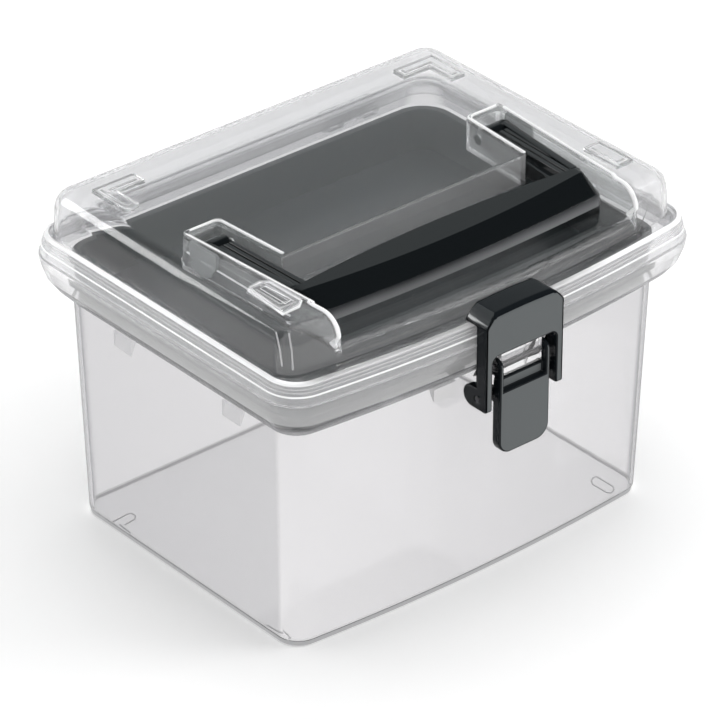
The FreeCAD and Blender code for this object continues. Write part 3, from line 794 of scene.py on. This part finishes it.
def makeBar():  # a channel open below, with solid ends
    look = barShape
    bar = bmesh.new()
    sides = [2 * step / look["stations"] - 1 for step in range(look["stations"] + 1)]
    sections = [barSection(side) for side in sides]
    solid = [section[:6] + section[9:] for section in sections]  # straight across where the hollow would be
    hollow = [place for place, side in enumerate(sides) if abs(side) * look["endHalf"] < look["hollowHalf"]]
    loft(bar, solid[:hollow[0] + 1])
    loft(bar, sections[hollow[0]:hollow[-1] + 1])
    loft(bar, solid[hollow[-1]:])
    bmesh.ops.remove_doubles(bar, verts=bar.verts, dist=meshLook["mergeReach"] * mm)
    bmesh.ops.holes_fill(bar, edges=[edge for edge in bar.edges if len(edge.link_faces) == 1], sides=0)
    bmesh.ops.recalc_face_normals(bar, faces=bar.faces)
    roundEdges(bar, look["endRound"], look["endAngle"], isBarEnd, look["endSegments"])
    # the bar's low front faces carry the painted reflection
    front = [face for face in bar.faces if face.normal.y < -look["frontSquare"]
             and abs(face.normal.z) < look["frontTilt"] and faceMiddle(face).y < look["frontFrom"]]
    paint(front, handleMaterials, "barReflection")
    return bar


def addArmRib(shape, place):  # a raised line along the top of an arm, its upper edges rounded
    look = armRibs
    low = Vector((place - look["width"] / 2, look["front"], look["low"])) * mm
    high = Vector((place + look["width"] / 2, look["back"], look["top"])) * mm
    made = bmesh.ops.create_cube(shape, size=1.0)
    for vert in made["verts"]:
        vert.co = Vector([a + (b - a) * (c + 0.5) for a, b, c in zip(low, high, vert.co)])
    edges = {edge for vert in made["verts"] for edge in vert.link_edges
             if all(end.co.z > (low.z + high.z) / 2 for end in edge.verts)}
    bmesh.ops.bevel(shape, geom=list(edges), offset=look["round"] * mm, offset_type="OFFSET", segments=3,
                    profile=0.5, affect="EDGES", material=-1, clamp_overlap=True)


def isBarCrease(edge):  # the long lines of the bar stay crisp
    look = barShape
    place = edgeMiddle(edge)
    return (abs(edgeCourse(edge).x) > look["creaseCourse"] and place.y < look["creaseFront"]
            and place.z > look["creaseLow"] and edge.calc_face_angle(0.0) > math.radians(look["creaseAngle"]))


def makeHandle():  # the arms are the CAD node's; the bar is shaped here
    look = armShape
    shape = mergedCopy("handle")
    cutAt(shape, (0.0, look["cutY"], 0.0), (0.0, -1.0, 0.0), None, 0.0, True)
    bmesh.ops.holes_fill(shape, edges=[edge for edge in shape.edges if len(edge.link_faces) == 1], sides=0)
    roundEdges(shape, look["edge"], look["sharpAngle"],
               lambda edge: edgeMiddle(edge).y > look["cutY"] + look["cutGap"])
    pullIn(shape, "handle")
    for side in (-1, 1):
        for place in armRibs["places"]:
            addArmRib(shape, side * place)
    pivot = look["pivotY"] * mm
    for vert in shape.verts:  # the arms close in towards the bar
        if vert.co.y < pivot:
            vert.co.x -= math.copysign(look["drawShare"] * (pivot - vert.co.y), vert.co.x)
    joinTo(shape, makeBar())
    finishPiece("handle", shape, handleMaterials, "handle", isBarCrease)


latchShape = {
    "edge": 0.9, "sharpAngle": 40.0, "headCorner": 7.5, "headHalf": 23.3, "headTop": 160.6, "cuts": 7,
    "arch": 1.0, "archCuts": (-12.0, -6.0, 0.0, 6.0, 12.0), "forward": 0.9, "cornerTurn": 0.3,
}


def roundHead(shape):  # the two upper corners of the hook drawn in as quarter rounds, and its top arched
    look = latchShape
    reach, half, top = look["headCorner"], look["headHalf"], look["headTop"]
    for step in range(look["cuts"]):
        drawn = reach * math.sin(math.pi / 2 * step / look["cuts"])
        cutAt(shape, (0.0, 0.0, top - reach + drawn), (0.0, 0.0, 1.0))
        for side in (-1, 1):
            cutAt(shape, (side * (half - reach + drawn), 0.0, 0.0), (1.0, 0.0, 0.0))
    for place in look["archCuts"]:
        cutAt(shape, (place, 0.0, 0.0), (1.0, 0.0, 0.0))
    for vert in shape.verts:
        across = (abs(vert.co.x) / mm - (half - reach)) / reach
        up = (vert.co.z / mm - (top - reach)) / reach
        if across > 0 and up > 0:
            drawnX = reach * across * math.sqrt(1 - min(up, 1) ** 2 / 2)
            drawnZ = reach * up * math.sqrt(1 - min(across, 1) ** 2 / 2)
            vert.co.x = math.copysign(half - reach + drawnX, vert.co.x) * mm
            vert.co.z = (top - reach + drawnZ) * mm
        if up > 0:
            vert.co.z -= look["arch"] * up * (vert.co.x / mm / half) ** 2 * mm


def makeLatchPart(nodeName, body):  # satin on the faces that look forward, gloss black on the rest
    look = latchShape
    shape = mergedCopy(nodeName)
    if nodeName == "latch_hook":
        roundHead(shape)
    rounds = roundEdges(shape, look["edge"], look["sharpAngle"])
    paint([face for face in shape.faces if face.normal.y >= -look["forward"]], latchMaterials, "edge")
    paint(rounds, latchMaterials, "edge")
    pullIn(shape, nodeName)
    paint([face for face in shape.faces  # the upper left corner catches the light
           if face.normal.x < -look["cornerTurn"] and face.normal.z > look["cornerTurn"]],
          latchMaterials, "corner")
    finishPiece(nodeName, shape, latchMaterials, body)


pinMaterials = {
    "lever_pin": pinSteel, "hook_pin": pinSteel, "hinge_pin_left": pinSteel, "hinge_pin_right": pinSteel,
    "handle_pin_left": handleMaterials["gloss"], "handle_pin_right": handleMaterials["gloss"],
}


def colourPins():
    for nodeName, material in pinMaterials.items():
        nodes[nodeName].data.materials.clear()
        nodes[nodeName].data.materials.append(material)


makeBin()
makeLid()
makeTray()
makeHandle()
makeLatchPart("latch_hook", "hook")
makeLatchPart("latch_lever", "lever")
colourPins()
print("pieces made")

stageLook = {
    "floorTint": grey(0.93), "floorGlow": 0.15, "floorSize": 12.0, "floorDrop": 0.02, "floorRoughness": 0.35,
    "floorShine": 0.3, "floorThrough": 0.86, "floorGloss": 0.4, "worldStrength": 0.78,
    "glossTint": (0.93, 1.0, 1.01, 1.0), "glossFront": 0.06, "glossBack": 0.55, "glossFrom": 0.26,
    "glossTo": 0.46,
}


def makeFloor():  # shows white where a clear wall or a gloss sees it
    look = stageLook
    shape = bmesh.new()
    bmesh.ops.create_grid(shape, x_segments=1, y_segments=1, size=look["floorSize"] / 2)
    mesh = bpy.data.meshes.new("floor")
    shape.to_mesh(mesh)
    shape.free()
    floor = bpy.data.objects.new("floor", mesh)
    floor.location.z = -look["floorDrop"] * mm
    scene.collection.objects.link(floor)
    shade = Shade("paleFloor")
    plain = shade.surface({
        "Base Color": look["floorTint"], "Roughness": look["floorRoughness"],
        "Specular IOR Level": look["floorShine"], "Emission Color": grey(1.0),
        "Emission Strength": look["floorGlow"]})
    white = shade.node("ShaderNodeEmission", {}, {"Color": grey(1.0), "Strength": 1.0})
    share = shade.rayIs("Transmission") * look["floorThrough"] + shade.rayIs("Glossy") * look["floorGloss"]
    mesh.materials.append(shade.finish(shade.blend(share, plain, white)))


def makeWorld():  # white where the camera or a clear wall looks, a soft studio for the rest
    look = stageLook
    scene.world = bpy.data.worlds.new("paleWorld")
    shade = Shade(scene.world)
    shine = shade.ramp(shade.along("Y", "Generated"), look["glossFrom"], look["glossTo"],
                       look["glossFront"], look["glossBack"])
    soft = shade.node("ShaderNodeBackground", {}, {"Color": grey(1.0), "Strength": look["worldStrength"]})
    gloss = shade.node("ShaderNodeBackground", {}, {"Color": look["glossTint"], "Strength": shine})
    white = shade.node("ShaderNodeBackground", {}, {"Color": grey(1.0), "Strength": 1.0})
    rest = shade.blend(shade.rayIs("Glossy"), soft, gloss)
    seen = shade.sum("MAXIMUM", shade.rayIs("Camera"), shade.rayIs("Transmission"))
    shade.finish(shade.blend(seen, rest, white), "ShaderNodeOutputWorld")


lampAim = (0.0, 0.0, 0.08)
lamps = {
    "keyLamp": {"place": (1.2, -0.9, 1.5), "size": 1.0, "power": 11.0, "glossOnly": False},
    "edgeLamp": {"place": (-0.33, 0.335, 0.352), "size": 0.19, "power": 0.75, "glossOnly": True},
    "topLamp": {"place": (-0.1, 0.3, 1.9), "size": 1.4, "power": 8.0, "glossOnly": False},
}


def makeLamps():
    for name, look in lamps.items():
        lamp = bpy.data.lights.new(name, "AREA")
        lamp.size = look["size"]
        lamp.energy = look["power"]
        holder = bpy.data.objects.new(name, lamp)
        holder.location = look["place"]
        holder.visible_glossy = look["glossOnly"]
        holder.visible_diffuse = not look["glossOnly"]
        aim = Vector(lampAim) - Vector(look["place"])
        holder.rotation_euler = aim.to_track_quat("-Z", "Y").to_euler()
        scene.collection.objects.link(holder)


cameraLook = {
    "place": (-1.28600601, -1.51961871, 1.28138538), "back": (-0.55245255, -0.65332288, 0.51765374),
    "lens": 245.8167, "sensor": 36.0, "farEnd": 30.0,
}


def makeCamera():
    data = bpy.data.cameras.new("photoCamera")
    data.lens = cameraLook["lens"]
    data.sensor_width = cameraLook["sensor"]
    data.clip_end = cameraLook["farEnd"]
    camera = bpy.data.objects.new("photoCamera", data)
    camera.location = cameraLook["place"]
    camera.rotation_euler = (-Vector(cameraLook["back"])).to_track_quat("-Z", "Y").to_euler()
    scene.collection.objects.link(camera)
    scene.camera = camera


makeFloor()
makeWorld()
makeLamps()
makeCamera()
scene.view_settings.view_transform = "Standard"
scene.cycles.transparent_max_bounces = 32  # enough for the rays that cross every clear wall
scene.cycles.max_bounces = 24
scene.cycles.transmission_bounces = 24
print("stage set")
